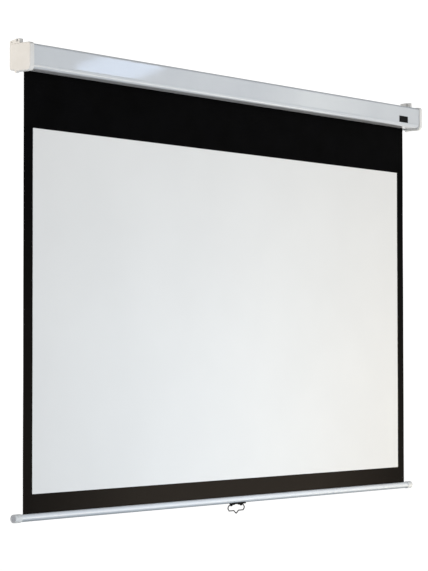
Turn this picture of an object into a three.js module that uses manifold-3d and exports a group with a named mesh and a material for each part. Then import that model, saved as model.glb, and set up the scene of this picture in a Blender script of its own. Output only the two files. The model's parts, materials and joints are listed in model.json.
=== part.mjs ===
// Pull down projector screen: a long housing for a wall or ceiling, a spring roller inside it, and the
// matt white screen that hangs from the roller with a round bar and a wire pull at its foot.
// Lengths are millimetres. X runs along the housing, Y runs back to the wall and Z runs up.
// The origin is the middle of the housing's back face, on the wall. The screen is modelled pulled down.

import * as THREE from 'three';
import { mergeVertices } from 'three/addons/utils/BufferGeometryUtils.js';
import Module from 'manifold-3d';

const wasm = await Module();
wasm.setup();

// Clearances
const seatGap = 0.3; // between a piece and the neighbour that holds it
const cutOverrun = 2; // how far a cutter runs past the face that it opens
const weldShare = 0.001; // corners nearer than this share of the seat gap are one

// Screen cloth: a black cloth with a white picture surface laid on its front
const pictureWidth = 1860;
const pictureHeight = 1046;
const sideBorder = 38;
const topBorder = 160.5; // black drop between the housing and the picture
const bottomBorder = 55;
const clothThickness = 0.4;
const surfaceThickness = 0.25;
const clothFromWall = 22;
const clothHalfWidth = pictureWidth / 2 + sideBorder;

// Housing case, a folded metal section with a slot along its underside
const housingOverhang = 37; // cap's side face past the cloth's edge
const caseHeight = 72;
const caseDepth = 80.5;
const caseWall = 1.4;
const caseFrontLowerRadius = 13;
const caseFrontUpperRadius = 5;
const caseBackRadius = 3;
const clothSlotWidth = 16;
const slotLipHeight = 6;
const slotLipRadius = 1.5;
const frontGrooveWidth = 1.4;
const frontGrooveDepth = 0.6;

// End caps, moulded, with a skirt that laps over the case
const capSideWall = 3;
const capSkirtLength = 17;
const capSkirtWall = 2.2;
const capFootDrop = 6.5; // how far the cap's foot reaches below the case
const capEdgeRadius = 4;
const capTopRadius = 9;
const capFrontFootRadius = 14;
const capBackFootRadius = 8;
const capNubRadius = 4.5;
const capNubDrop = 3.5;
const capNubLength = 12;
const capFootFromWall = 17; // behind this the foot is no deeper than the skirt
const capFootRamp = 5;
const capFootCorner = 2;

// Hanging lugs on the end caps, each with an open slot for a hook
const lugWidth = 14.8;
const lugInset = 2; // from the cap's side face
const lugSlotWidth = 5.7;
const lugSlotFloor = 4; // above the cap's top
const lugSlotFromWall = 30;
const lugFrontWall = 6.2;
const lugs = {
  left: { height: 13, rampDrop: 8 },
  right: { height: 20, rampDrop: 1 },
};
const lugHoleRadius = 1.8;
const lugHoleFromWall = 9;
const lugHoleHeight = 3.5;

// Roller brackets, inside the caps
const bracketThickness = 3;
const bracketRoomAbove = 7.6; // to the case's walls above and below
const bracketRoomBefore = 11.24; // to the case's front wall
const bracketReachBehind = 26; // from the roller's axis
const bracketCorner = 6;
const bossRadius = 4.2;
const bossLength = 4;
const bracketScrewInset = 9; // from the bracket's front and back edges
const bracketScrewDrop = 8; // from its top and bottom edges

// Screws: pan heads with a cross recess
const screwHeadRadius = 3.5;
const screwHeadHeight = 2.2;
const screwShankRadius = 1.7;
const screwTipLength = 1.2;
const screwHeadRimShare = 0.55; // how high the head's rim stands
const screwHeadCrownShare = 0.7; // how wide its flat crown is
const recessWidth = 1;
const recessDepth = 1.1;
const recessSpan = 3.8;
const bracketScrewLength = 6;
const capScrewLength = 6;
const capScrewFromEnd = 13.5;
const capScrewSpacing = 24;
const capScrewSink = 3.2; // depth of the counterbore in the cap's foot

// Roller: tube, end plugs and the turns of cloth that stay on it
const rollerRadius = 18;
const rollerWall = 1.2;
const rollerRoom = 22.7; // from the tube's end to the bracket, for the plug's flange and the lock
const turnsLeft = 1.6;
const turnGap = 0.45;
const stripThickness = 0.5;
const stripWidth = 10;
const plugLength = 32;
const plugFlange = 4;
const idlePinRadius = 4;
const idlePinSeat = 22;
const bushFlangeRadius = 8;
const bushFlange = 1.2;
const bushWall = 2;

// Spring drive: fixed spindle, torsion spring and the anchor at its far end
const spindleRadius = 4;
const bladeThickness = 3;
const bladeWidth = 7;
const bladeLength = 12;
const springCurls = 36;
const springPitch = 5.2;
const springWire = 2.4;
const springRadius = 11;
const springBend = 3.6;
const anchorLength = 16;
const anchorWaist = 8;
const spindleTail = 6;
const ringThickness = 1.4;
const ringWidth = 2.4;

// Ratchet lock between the spindle and the roller
const ratchetTeeth = 6;
const ratchetTipRadius = 9;
const ratchetRootRadius = 6.5;
const ratchetThickness = 6;
const ratchetStandoff = 1.6; // between the plug and the wheel
const ratchetSlopeShare = 0.6; // share of a tooth's pitch that its sloping back takes
const ratchetFaceAngle = THREE.MathUtils.degToRad(100);
const pawlPivotRadius = 15;
const pawlLead = THREE.MathUtils.degToRad(55); // from pivot to nose, round the axis
const pawlNoseRadius = 7; // the nose's reach when it is dropped in
const pawlNoseGap = 0.4;
const pawlEyeRadius = 3.2;
const pawlNoseWidth = 2.4;
const pawlBackWidth = 2.6; // from the arm's line to its back, halfway along
const pawlPinRadius = 1.7;
const pawlPinHead = 1.2;
const pawlPinHeadRadius = 2.6;
const pawlSwing = THREE.MathUtils.degToRad(15); // from lifted, as modelled, to dropped in
const pawlCount = 2;

// Bottom bar, with knobs on its ends
const barRadius = 10.75;
const barWall = 1.4;
const barSlotWidth = 3;
const barOverhang = 39; // knob's end past the cloth's edge
const knobRadius = 12.2;
const knobLength = 27;
const knobEndWall = 3.6;
const knobEdgeRadius = 2.4;
const knobDishRadius = 8;
const knobDishDepth = 1;
const hemRodRadius = 3.4;
const hemRodSlotDepth = 3.6;

// Wire pull and its bracket under the bar
const pullOffset = 5; // from the bar's middle
const wireRadius = 1.4;
const pullHalfWidth = 44; // to the wire's centre
const pullShoulder = 35; // half the width where the wire leaves the pivot's line
const pullFoot = 36; // half the width of the level wire
const pullWaistDrop = 9.5; // pivot to the widest place
const pullSpanDrop = 18.3; // pivot to the level wire either side of the vee
const pullHeight = 27.6; // pivot to the tip of the vee
const pullCorner = 6;
const veeHalfWidth = 12;
const veeCorner = 2.4;
const pullInnerEnd = 22;
const saddleLength = 68;
const saddleOffset = 12.5;
const saddleWidth = 15;
const saddleDrop = 14; // bar's axis to the saddle's flat underside
const saddleCorner = 2;
const earThickness = 3;
const earWidth = 9;
const earWall = 2.2;
const earSpacing = 50;
const saddleScrewSpacing = 26;
const saddleScrewLength = 5;

// Fineness of round shapes
const cornerSteps = 6;
const roundSides = 32;
const smallSides = 20;
const wireSides = 8;
const springSides = 5;
const springStepsPerCurl = 8;
const wrapStepsPerTurn = 36;
const bendSteps = 4;

// Places that several pieces share
const ends = { left: -1, right: 1 };
const clothY = -clothFromWall;
const caseBottom = -caseHeight / 2;
const wrapStartRadius = rollerRadius + seatGap + clothThickness / 2;
const wrapPitch = clothThickness + turnGap;
const wrapEndRadius = wrapStartRadius + wrapPitch * turnsLeft;
const axisY = clothY - wrapEndRadius;
const bracketFront = -caseDepth + caseWall + bracketRoomBefore - axisY; // from the roller's axis
const bracketTop = caseHeight / 2 - caseWall - bracketRoomAbove;
const pictureTop = caseBottom - topBorder;
const pictureBottom = pictureTop - pictureHeight;
const clothBottom = pictureBottom - bottomBorder;
const barZ = clothBottom - barRadius;
const barEndX = clothHalfWidth + barOverhang;
const capOuterX = clothHalfWidth + housingOverhang;
const caseEndX = capOuterX - capSideWall - seatGap;
const bracketOuterX = capOuterX - capSideWall - bossLength - seatGap;
const bracketInnerX = bracketOuterX - bracketThickness;
const rollerEndX = bracketInnerX - rollerRoom;
const plugOuterX = rollerEndX + seatGap + plugFlange;
const plugInnerX = rollerEndX - plugLength;
const springEndX = plugInnerX - seatGap;
const springLength = springCurls * springPitch + 2 * (springWire + springBend);
const anchorX = springEndX - springLength - seatGap;
const ratchetX = plugOuterX + 2 * seatGap + ratchetStandoff;

function colour(color, roughness, metalness) {
  return new THREE.MeshStandardMaterial({ color, roughness, metalness });
}
const materials = {
  case: colour('#d6dadd', 0.35, 0.15),
  cap: colour('#e9e4df', 0.5, 0),
  bar: colour('#dfe3e8', 0.35, 0.15),
  knob: colour('#c9ccd1', 0.45, 0),
  steel: colour('#9a9c9e', 0.4, 0.9),
  spring: colour('#54565a', 0.45, 0.85),
  bush: colour('#e6e4dc', 0.6, 0),
  black: colour('#0c0c0d', 0.8, 0),
  picture: colour('#eceeef', 0.9, 0),
  bracket: colour('#141414', 0.45, 0.3),
};

// Turns a closed geometry's faces outward and keeps only its positions, with shared corners merged.
function closed(geometry) {
  geometry.deleteAttribute('normal');
  geometry.deleteAttribute('uv');
  const merged = mergeVertices(geometry, seatGap * weldShare);
  const position = merged.attributes.position;
  const index = merged.index.array;
  const [a, b, c] = [new THREE.Vector3(), new THREE.Vector3(), new THREE.Vector3()];
  const kept = [];
  let volume = 0;
  for (let i = 0; i < index.length; i += 3) {
    const [ia, ib, ic] = [index[i], index[i + 1], index[i + 2]];
    if (ia === ib || ib === ic || ic === ia) continue;
    a.fromBufferAttribute(position, ia);
    b.fromBufferAttribute(position, ib);
    c.fromBufferAttribute(position, ic);
    volume += a.dot(b.cross(c));
    kept.push(ia, ib, ic);
  }
  if (volume < 0) {
    for (let i = 0; i < kept.length; i += 3) [kept[i], kept[i + 1]] = [kept[i + 1], kept[i]];
  }
  merged.setIndex(kept);
  return merged;
}

function solid(geometry) {
  const shape = closed(geometry.clone());
  return new wasm.Manifold(new wasm.Mesh({
    numProp: 3,
    vertProperties: new Float32Array(shape.attributes.position.array),
    triVerts: new Uint32Array(shape.index.array),
  }));
}

function geometryOf(body) {
  const mesh = body.getMesh();
  const geometry = new THREE.BufferGeometry();
  geometry.setAttribute('position', new THREE.BufferAttribute(new Float32Array(mesh.vertProperties), 3));
  geometry.setIndex([...mesh.triVerts]);
  return geometry;
}

function cut(base, ...cutters) {
  return geometryOf(cutters.reduce((body, cutter) => body.subtract(solid(cutter)), solid(base)));
}

function join(base, ...others) {
  return geometryOf(others.reduce((body, other) => body.add(solid(other)), solid(base)));
}

// A box between two corners.
function block([xa, ya, za], [xb, yb, zb]) {
  const box = new THREE.BoxGeometry(Math.abs(xb - xa), Math.abs(yb - ya), Math.abs(zb - za));
  return box.translate((xa + xb) / 2, (ya + yb) / 2, (za + zb) / 2);
}

const acrossX = new THREE.Matrix4().makeBasis(
  new THREE.Vector3(0, 1, 0), new THREE.Vector3(0, 0, 1), new THREE.Vector3(1, 0, 0));

// An outline of [y, z] points, extruded from one X to another.
function prism(outline, fromX, toX, holes = []) {
  const shape = new THREE.Shape(outline.map(([y, z]) => new THREE.Vector2(y, z)));
  shape.holes = holes.map((hole) => new THREE.Path(hole.map(([y, z]) => new THREE.Vector2(y, z))));
  const geometry = new THREE.ExtrudeGeometry(shape, { depth: toX - fromX, bevelEnabled: false });
  return geometry.applyMatrix4(acrossX).translate(fromX, 0, 0);
}

// A profile of [radius, along] points, turned about X.
function turned(profile, sides = roundSides) {
  const points = profile.map(([radius, along]) => new THREE.Vector2(radius, along));
  return new THREE.LatheGeometry(points, sides).rotateZ(-Math.PI / 2);
}

// A round rod along X.
function rod(radius, fromX, toX, sides = smallSides) {
  return turned([[0, fromX], [radius, fromX], [radius, toX], [0, toX]], sides);
}

// A round tube along X.
function pipe(outer, inner, fromX, toX, sides = roundSides) {
  const corners = [[inner, fromX], [outer, fromX], [outer, toX], [inner, toX], [inner, fromX]];
  return turned(corners, sides);
}

// Rounds the corners of a path of [u, v, radius] points.
function rounded(corners, isClosed = true) {
  const points = [];
  const count = corners.length;
  corners.forEach(([u, v, radius], i) => {
    const isEnd = !isClosed && (i === 0 || i === count - 1);
    if (isEnd || !radius) {
      points.push([u, v]);
      return;
    }
    const here = new THREE.Vector2(u, v);
    const before = new THREE.Vector2(...corners[(i + count - 1) % count]).sub(here).normalize();
    const after = new THREE.Vector2(...corners[(i + 1) % count]).sub(here).normalize();
    const half = Math.acos(THREE.MathUtils.clamp(before.dot(after), -1, 1)) / 2;
    const inward = before.clone().add(after).normalize();
    const centre = here.clone().addScaledVector(inward, radius / Math.sin(half));
    const from = here.clone().addScaledVector(before, radius / Math.tan(half)).sub(centre);
    const turn = Math.PI - 2 * half;
    const way = Math.sign(before.cross(after)) || 1;
    for (let k = 0; k <= cornerSteps; k += 1) {
      const arm = from.clone().rotateAround(new THREE.Vector2(), -way * turn * (k / cornerSteps));
      points.push([centre.x + arm.x, centre.y + arm.y]);
    }
  });
  return points;
}

// The outline of a folded strip that follows an open path of [u, v] points.
function strip(path, thickness) {
  const side = (offset) => path.map(([u, v], i) => {
    const [ua, va] = path[Math.max(i - 1, 0)];
    const [ub, vb] = path[Math.min(i + 1, path.length - 1)];
    const along = new THREE.Vector2(ub - ua, vb - va).normalize();
    return [u - along.y * offset, v + along.x * offset];
  });
  return [...side(thickness / 2), ...side(-thickness / 2).reverse()];
}

// A closed skin over rings of points, each ring with as many points as the next.
function skin(rings, flat) {
  const sides = rings[0].length;
  const points = rings.flat();
  const index = [];
  for (let r = 0; r < rings.length - 1; r += 1) {
    for (let s = 0; s < sides; s += 1) {
      const [a, b] = [r * sides + s, r * sides + (s + 1) % sides];
      index.push(a, b, b + sides, a, b + sides, a + sides);
    }
  }
  const lid = THREE.ShapeUtils.triangulateShape(flat, []);
  const isBackward = THREE.ShapeUtils.isClockWise(flat);
  const last = (rings.length - 1) * sides;
  for (const [a, second, third] of lid) {
    const [b, c] = isBackward ? [third, second] : [second, third];
    index.push(a, c, b, last + a, last + b, last + c);
  }
  const geometry = new THREE.BufferGeometry().setFromPoints(points);
  geometry.setIndex(index);
  return geometry;
}

// A round wire along a smooth run of points, closed at both ends.
function wire(points, radius, sides) {
  const tangents = points.map((p, i) => {
    const before = points[Math.max(i - 1, 0)];
    return points[Math.min(i + 1, points.length - 1)].clone().sub(before).normalize();
  });
  let normal = new THREE.Vector3(0, 1, 0).projectOnPlane(tangents[0]).normalize();
  if (normal.length() === 0) normal = new THREE.Vector3(0, 0, 1);
  const rings = points.map((p, i) => {
    normal = normal.clone().projectOnPlane(tangents[i]).normalize();
    const side = tangents[i].clone().cross(normal);
    return Array.from({ length: sides }, (_, k) => {
      const angle = (2 * Math.PI * k) / sides;
      const [along, across] = [radius * Math.cos(angle), radius * Math.sin(angle)];
      return p.clone().addScaledVector(normal, along).addScaledVector(side, across);
    });
  });
  const flat = Array.from({ length: sides }, (_, k) => {
    const angle = (2 * Math.PI * k) / sides;
    return new THREE.Vector2(Math.cos(angle), Math.sin(angle));
  });
  return skin(rings, flat);
}

function mirrored(geometry) {
  return closed(geometry.clone().scale(-1, 1, 1));
}

function piece(name, geometry, material) {
  const shape = closed(geometry).toNonIndexed();
  shape.computeVertexNormals();
  const mesh = new THREE.Mesh(shape, material);
  mesh.name = name;
  return mesh;
}

// A pan head screw along X, with its head's seat at zero and its tip at -length.
function screw(length) {
  const body = turned([
    [0, -length],
    [screwShankRadius / 2, -length],
    [screwShankRadius, -length + screwTipLength],
    [screwShankRadius, 0],
    [screwHeadRadius, 0],
    [screwHeadRadius, screwHeadHeight * screwHeadRimShare],
    [screwHeadRadius * screwHeadCrownShare, screwHeadHeight],
    [0, screwHeadHeight],
  ], smallSides);
  const low = screwHeadHeight - recessDepth;
  const high = screwHeadHeight + cutOverrun;
  const [half, reach] = [recessWidth / 2, recessSpan / 2];
  const arms = [[half, reach], [reach, half]].map(([y, z]) => block([low, -y, -z], [high, y, z]));
  return cut(body, ...arms);
}

// Housing case

function caseProfile() {
  const inset = caseWall / 2;
  const [back, front] = [-inset, -caseDepth + inset];
  const [low, high] = [caseBottom + inset, caseHeight / 2 - inset];
  const rearLip = clothY + clothSlotWidth / 2 + inset;
  const frontLip = clothY - clothSlotWidth / 2 - inset;
  return strip(rounded([
    [frontLip, low + slotLipHeight, 0],
    [frontLip, low, slotLipRadius],
    [front, low, caseFrontLowerRadius],
    [front, high, caseFrontUpperRadius],
    [back, high, caseBackRadius],
    [back, low, caseBackRadius],
    [rearLip, low, slotLipRadius],
    [rearLip, low + slotLipHeight, 0],
  ], false), caseWall);
}

const capScrewMiddle = (clothY - clothSlotWidth / 2 - caseDepth) / 2;
const capScrewY = [-1, 1].map((side) => capScrewMiddle + side * capScrewSpacing / 2);
const capScrewX = capOuterX - capScrewFromEnd;

function upright(radius, x, y, fromZ, toZ) {
  return rod(radius, fromZ, toZ).rotateY(-Math.PI / 2).translate(x, y, 0);
}

function housingCase() {
  const grooveZ = caseBottom + caseFrontLowerRadius;
  const groove = block(
    [-capOuterX, -caseDepth - cutOverrun, grooveZ - frontGrooveWidth / 2],
    [capOuterX, -caseDepth + frontGrooveDepth, grooveZ + frontGrooveWidth / 2]);
  const [under, over] = [caseBottom - cutOverrun, caseBottom + caseWall + cutOverrun];
  const holes = [-1, 1].flatMap((end) => capScrewY.map(
    (y) => upright(screwShankRadius + seatGap, end * capScrewX, y, under, over)));
  return cut(prism(caseProfile(), -caseEndX, caseEndX), groove, ...holes);
}

// End caps

// The cap's outline, drawn in by an inset.
function capOutline(inset) {
  const back = -inset;
  const front = -caseDepth - seatGap - capSkirtWall + inset;
  const top = caseHeight / 2 + seatGap + capSkirtWall - inset;
  const skirt = caseBottom - seatGap - capSkirtWall + inset;
  const foot = caseBottom - capFootDrop + inset;
  const shrunk = (radius) => Math.max(radius - inset, caseBackRadius);
  return rounded([
    [back, top, caseBackRadius],
    [back, skirt, shrunk(capBackFootRadius)],
    [-capFootFromWall - inset, skirt, capFootCorner],
    [-capFootFromWall - capFootRamp - inset, foot, capFootCorner],
    [front, foot, shrunk(capFrontFootRadius)],
    [front, top, shrunk(capTopRadius)],
  ]);
}

function capShell() {
  const levels = Array.from({ length: bendSteps + 1 }, (_, k) => (Math.PI / 2) * (k / bendSteps));
  const rings = levels.map((angle) => {
    const x = capOuterX - capEdgeRadius * (1 - Math.sin(angle));
    return capOutline(capEdgeRadius * (1 - Math.cos(angle))).map(([y, z]) => new THREE.Vector3(x, y, z));
  });
  rings.unshift(capOutline(0).map(([y, z]) => new THREE.Vector3(capOuterX - capSkirtLength, y, z)));
  return skin(rings, capOutline(0).map(([y, z]) => new THREE.Vector2(y, z)));
}

// The room inside the skirt: the case's outside with a clearance, open at the back.
function capRoom() {
  const [front, low, high] = [-caseDepth - seatGap, caseBottom - seatGap, caseHeight / 2 + seatGap];
  return prism(rounded([
    [cutOverrun, low, 0],
    [front, low, caseFrontLowerRadius + seatGap],
    [front, high, caseFrontUpperRadius + seatGap],
    [cutOverrun, high, 0],
  ]), capOuterX - capSkirtLength - cutOverrun, capOuterX - capSideWall);
}

const bracketScrews = [
  [bracketReachBehind - bracketScrewInset, bracketTop - bracketScrewDrop],
  [bracketFront + bracketScrewInset, bracketScrewDrop - bracketTop],
];

function lug({ height, rampDrop }) {
  const capTop = caseHeight / 2 + seatGap + capSkirtWall;
  const [outer, inner] = [capOuterX - lugInset, capOuterX - lugInset - lugWidth];
  const root = capTop - capSkirtWall / 2;
  const crest = capTop + height;
  const [slotBack, slotFront] = [-lugSlotFromWall + lugSlotWidth / 2, -lugSlotFromWall - lugSlotWidth / 2];
  const front = slotFront - lugFrontWall;
  const floor = capTop + lugSlotFloor;
  const outline = [[0, root], [0, crest - rampDrop], [slotBack, crest], [slotBack, floor]];
  outline.push([slotFront, floor], [slotFront, crest], [front, crest], [front, root]);
  const hole = rod(lugHoleRadius, inner - cutOverrun, outer + cutOverrun, smallSides);
  return cut(prism(outline, inner, outer), hole.translate(0, -lugHoleFromWall, capTop + lugHoleHeight));
}

function endCap(lugSize) {
  const nubBottom = caseBottom - capFootDrop - capNubDrop;
  const nub = turned([
    [0, -capNubLength / 2],
    [capNubRadius, -capNubLength / 2],
    [capNubRadius, capNubLength / 2],
    [0, capNubLength / 2],
  ], smallSides).translate(capOuterX - capEdgeRadius - capNubLength / 2, clothY, nubBottom + capNubRadius);
  const [bossFrom, bossTo] = [capOuterX - capSideWall - bossLength, capOuterX - capSideWall / 2];
  const bosses = bracketScrews.map(([y, z]) => rod(bossRadius, bossFrom, bossTo).translate(0, axisY + y, z));
  const pilots = bracketScrews.map(([y, z]) => rod(
    screwShankRadius + seatGap, bracketInnerX - cutOverrun, bracketInnerX + bracketScrewLength + 2 * seatGap,
  ).translate(0, axisY + y, z));
  const foot = caseBottom - capFootDrop;
  const wells = capScrewY.map((y) => upright(
    screwHeadRadius + seatGap, capScrewX, y, foot - cutOverrun, foot + capScrewSink));
  const shafts = capScrewY.map((y) => upright(
    screwShankRadius + seatGap, capScrewX, y, foot, caseBottom + cutOverrun));
  const shell = cut(capShell(), capRoom());
  return cut(join(shell, nub, lug(lugSize), ...bosses), ...pilots, ...wells, ...shafts);
}

// Roller brackets and the idle end's bush

function throughBracket(radius) {
  return rod(radius, bracketInnerX - cutOverrun, bracketOuterX + cutOverrun, roundSides);
}

function bracketPlate(hole) {
  const [front, back, top] = [bracketFront, bracketReachBehind, bracketTop];
  const corners = [[front, -top], [back, -top], [back, top], [front, top]];
  const outline = rounded(corners.map((corner) => [...corner, bracketCorner]));
  const plate = prism(outline, bracketInnerX, bracketOuterX);
  const shankHole = screwShankRadius + seatGap;
  const holes = bracketScrews.map(([sy, sz]) => throughBracket(shankHole).translate(0, sy, sz));
  return cut(plate, hole, ...holes);
}

function bladeSlot() {
  const [y, z] = [bladeThickness / 2 + seatGap, bladeWidth / 2 + seatGap];
  return block([bracketInnerX - cutOverrun, -y, -z], [bracketOuterX + cutOverrun, y, z]);
}

const bushBore = idlePinRadius + seatGap;

function idleBush() {
  const face = bracketInnerX - seatGap;
  return turned([
    [bushBore, face - bushFlange],
    [bushFlangeRadius, face - bushFlange],
    [bushFlangeRadius, face],
    [bushBore + bushWall, face],
    [bushBore + bushWall, bracketOuterX],
    [bushBore, bracketOuterX],
    [bushBore, face - bushFlange],
  ]);
}

// Spindle, spring and anchor, about the roller's axis

function spindle() {
  const tip = bracketOuterX;
  const bladeFrom = tip - bladeLength;
  const tail = anchorX - anchorLength - spindleTail;
  const shaft = rod(spindleRadius, tail, bladeFrom + seatGap, smallSides);
  const [half, reach] = [bladeThickness / 2, bladeWidth / 2];
  const blade = block([bladeFrom, -half, -reach], [tip, half, reach]);
  return join(shaft, blade);
}

function retainingRing() {
  const inner = spindleRadius + seatGap;
  const from = ratchetX + ratchetThickness + seatGap;
  const to = from + ringThickness;
  const gapTop = inner + 2 * ringWidth;
  const gap = block([from - cutOverrun, -inner / 2, 0], [to + cutOverrun, inner / 2, gapTop]);
  return cut(pipe(inner + ringWidth, inner, from, to, smallSides), gap);
}

function springAnchor() {
  const outer = rollerRadius - rollerWall - seatGap;
  const inner = spindleRadius + seatGap;
  const waistFrom = anchorX - (anchorLength - anchorWaist) / 2;
  const waistTo = waistFrom - anchorWaist;
  const waist = (outer + inner) / 2;
  return turned([
    [inner, anchorX - anchorLength],
    [outer, anchorX - anchorLength],
    [outer, waistTo],
    [waist, waistTo],
    [waist, waistFrom],
    [outer, waistFrom],
    [outer, anchorX],
    [inner, anchorX],
    [inner, anchorX - anchorLength],
  ]);
}

function torsionSpring() {
  const start = springEndX - springLength;
  const points = [new THREE.Vector3(start, springRadius, 0)];
  const bendAt = (angle, from, way) => new THREE.Vector3(
    from + way * springBend * Math.sin(angle), springRadius, -way * springBend * (1 - Math.cos(angle)));
  for (let k = 0; k < bendSteps; k += 1) {
    points.push(bendAt((Math.PI / 2) * (k / bendSteps), start + springWire, 1));
  }
  const steps = springCurls * springStepsPerCurl;
  const helixFrom = start + springWire + springBend;
  for (let k = 1; k < steps; k += 1) {
    const angle = -(2 * Math.PI * k) / springStepsPerCurl;
    const x = helixFrom + springPitch * springCurls * (k / steps);
    points.push(new THREE.Vector3(x, springRadius * Math.cos(angle), springRadius * Math.sin(angle)));
  }
  for (let k = bendSteps - 1; k >= 0; k -= 1) {
    points.push(bendAt((Math.PI / 2) * (k / bendSteps), springEndX - springWire, -1));
  }
  points.push(new THREE.Vector3(springEndX, springRadius, 0));
  return wire(points, springWire / 2, springSides);
}

// Ratchet wheel: each tooth has a radial face that stops the roller winding up, and a sloping back

function ratchetWheel() {
  const pitch = (2 * Math.PI) / ratchetTeeth;
  const outline = [];
  const at = (radius, angle) => outline.push([radius * Math.cos(angle), radius * Math.sin(angle)]);
  for (let tooth = 0; tooth < ratchetTeeth; tooth += 1) {
    const face = ratchetFaceAngle + tooth * pitch;
    for (let k = 0; k <= bendSteps; k += 1) {
      const share = k / bendSteps;
      at(
        THREE.MathUtils.lerp(ratchetTipRadius, ratchetRootRadius, share),
        face + share * pitch * ratchetSlopeShare);
    }
    for (let k = 1; k <= bendSteps; k += 1) {
      const share = ratchetSlopeShare + (1 - ratchetSlopeShare) * (k / bendSteps);
      at(ratchetRootRadius, face + share * pitch);
    }
  }
  const bore = Array.from({ length: smallSides }, (_, k) => {
    const angle = (2 * Math.PI * k) / smallSides;
    return [(spindleRadius + seatGap) * Math.cos(angle), (spindleRadius + seatGap) * Math.sin(angle)];
  });
  return prism(outline, ratchetX, ratchetX + ratchetThickness, [bore]);
}

const polar = (radius, angle) => new THREE.Vector2(radius * Math.cos(angle), radius * Math.sin(angle));
const pawlFaceAngle = (k) => ratchetFaceAngle + (2 * Math.PI * k) / pawlCount;
const pawlPivot = (k) => polar(pawlPivotRadius, pawlFaceAngle(k) - pawlLead);

// A pawl about its own pivot, lifted clear of the teeth.
function pawl(k) {
  const pivot = pawlPivot(k);
  const noseAngle = pawlFaceAngle(k) - pawlNoseGap / pawlNoseRadius;
  const tip = polar(pawlNoseRadius, noseAngle).sub(pivot);
  const heel = polar(pawlNoseRadius + pawlNoseWidth, noseAngle).sub(pivot);
  const toAxis = pivot.clone().negate().normalize();
  const arm = tip.clone().normalize();
  const eye = Array.from({ length: smallSides + 1 }, (_, i) => {
    const angle = toAxis.angle() + Math.PI * (i / smallSides);
    return [pawlEyeRadius * Math.cos(angle), pawlEyeRadius * Math.sin(angle)];
  });
  const outer = arm.clone().multiplyScalar(tip.length() / 2).addScaledVector(toAxis, -pawlBackWidth);
  const outline = [...eye, [outer.x, outer.y], [heel.x, heel.y], [tip.x, tip.y]];
  const inLifted = outline.map(([y, z]) => {
    const point = new THREE.Vector2(y, z).rotateAround(new THREE.Vector2(), -pawlSwing);
    return [point.x, point.y];
  });
  const [from, to] = [ratchetX, ratchetX + ratchetThickness];
  return cut(prism(inLifted, from, to), rod(pawlPinRadius + seatGap, from - cutOverrun, to + cutOverrun));
}

function pawlPin() {
  const headFrom = ratchetX + ratchetThickness + seatGap;
  return turned([
    [0, plugOuterX - plugFlange],
    [pawlPinRadius, plugOuterX - plugFlange],
    [pawlPinRadius, headFrom],
    [pawlPinHeadRadius, headFrom],
    [pawlPinHeadRadius, headFrom + pawlPinHead],
    [0, headFrom + pawlPinHead],
  ], smallSides);
}

// Roller tube, plugs and cloth

function endPlug(boreRadius, hasPawls) {
  const outer = rollerRadius - rollerWall - seatGap;
  const body = turned([
    [boreRadius, plugInnerX],
    [outer, plugInnerX],
    [outer, rollerEndX + seatGap],
    [rollerRadius, rollerEndX + seatGap],
    [rollerRadius, plugOuterX],
    [boreRadius, plugOuterX],
    [boreRadius, plugInnerX],
  ]);
  if (!hasPawls) return body;
  const seats = Array.from({ length: pawlCount }, (_, k) => {
    const { x: y, y: z } = pawlPivot(k);
    const seat = rod(pawlPinRadius + seatGap, plugOuterX - plugFlange - seatGap, plugOuterX + cutOverrun);
    return seat.translate(0, y, z);
  });
  return cut(body, ...seats);
}

function idlePin() {
  return rod(idlePinRadius, rollerEndX - idlePinSeat, bracketOuterX - seatGap, smallSides);
}

// The turns of cloth left on the roller: one spiral from beside the strip to where the screen hangs.
function wrapPoint(share, side) {
  const angle = 2 * Math.PI * turnsLeft * share;
  return polar(wrapEndRadius - wrapPitch * turnsLeft * share + side * clothThickness / 2, angle);
}

function clothWraps() {
  const steps = Math.round(wrapStepsPerTurn * turnsLeft);
  const from = seatGap / wrapEndRadius / (2 * Math.PI * turnsLeft);
  const shares = Array.from({ length: steps + 1 }, (_, k) => from + (1 - from) * (k / steps));
  const outer = shares.map((share) => wrapPoint(share, 1));
  const inner = shares.map((share) => wrapPoint(share, -1));
  const doubled = shares.filter((share) => share + 1 / turnsLeft <= 1);
  const gaps = doubled.map((share) => wrapPoint(share, -1).distanceTo(wrapPoint(share + 1 / turnsLeft, 1)));
  console.log(`least gap between turns of cloth: ${Math.min(...gaps).toFixed(2)} mm`);
  const outline = [...outer, ...inner.reverse()].map((p) => [p.x, p.y]);
  return prism(outline, -clothHalfWidth, clothHalfWidth);
}

function clothStrip() {
  const end = 2 * Math.PI * turnsLeft;
  const span = stripWidth / wrapStartRadius;
  const [low, high] = [rollerRadius + seatGap, rollerRadius + seatGap + stripThickness];
  const start = end + seatGap / low;
  const angles = Array.from({ length: bendSteps + 1 }, (_, k) => start + span * (k / bendSteps));
  const arc = (radius) => angles.map((angle) => polar(radius, angle));
  const outline = [...arc(high), ...arc(low).reverse()].map((p) => [p.x, p.y]);
  return prism(outline, -clothHalfWidth, clothHalfWidth);
}

// Bottom bar, about its own axis

const saddleScrewX = [-1, 1].map((side) => pullOffset + side * saddleScrewSpacing / 2);

function barTube() {
  const end = barEndX - knobEndWall - seatGap;
  const tube = pipe(barRadius, barRadius - barWall, -end, end);
  const [slotHalf, slotTop] = [barSlotWidth / 2, barRadius + cutOverrun];
  const slot = block([-end - cutOverrun, -slotHalf, 0], [end + cutOverrun, slotHalf, slotTop]);
  const shankHole = screwShankRadius + seatGap;
  const holes = saddleScrewX.map((x) => upright(shankHole, x, 0, -barRadius - cutOverrun, 0));
  return cut(tube, slot, ...holes);
}

const hemRodZ = barRadius - barWall - seatGap - hemRodRadius;

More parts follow.
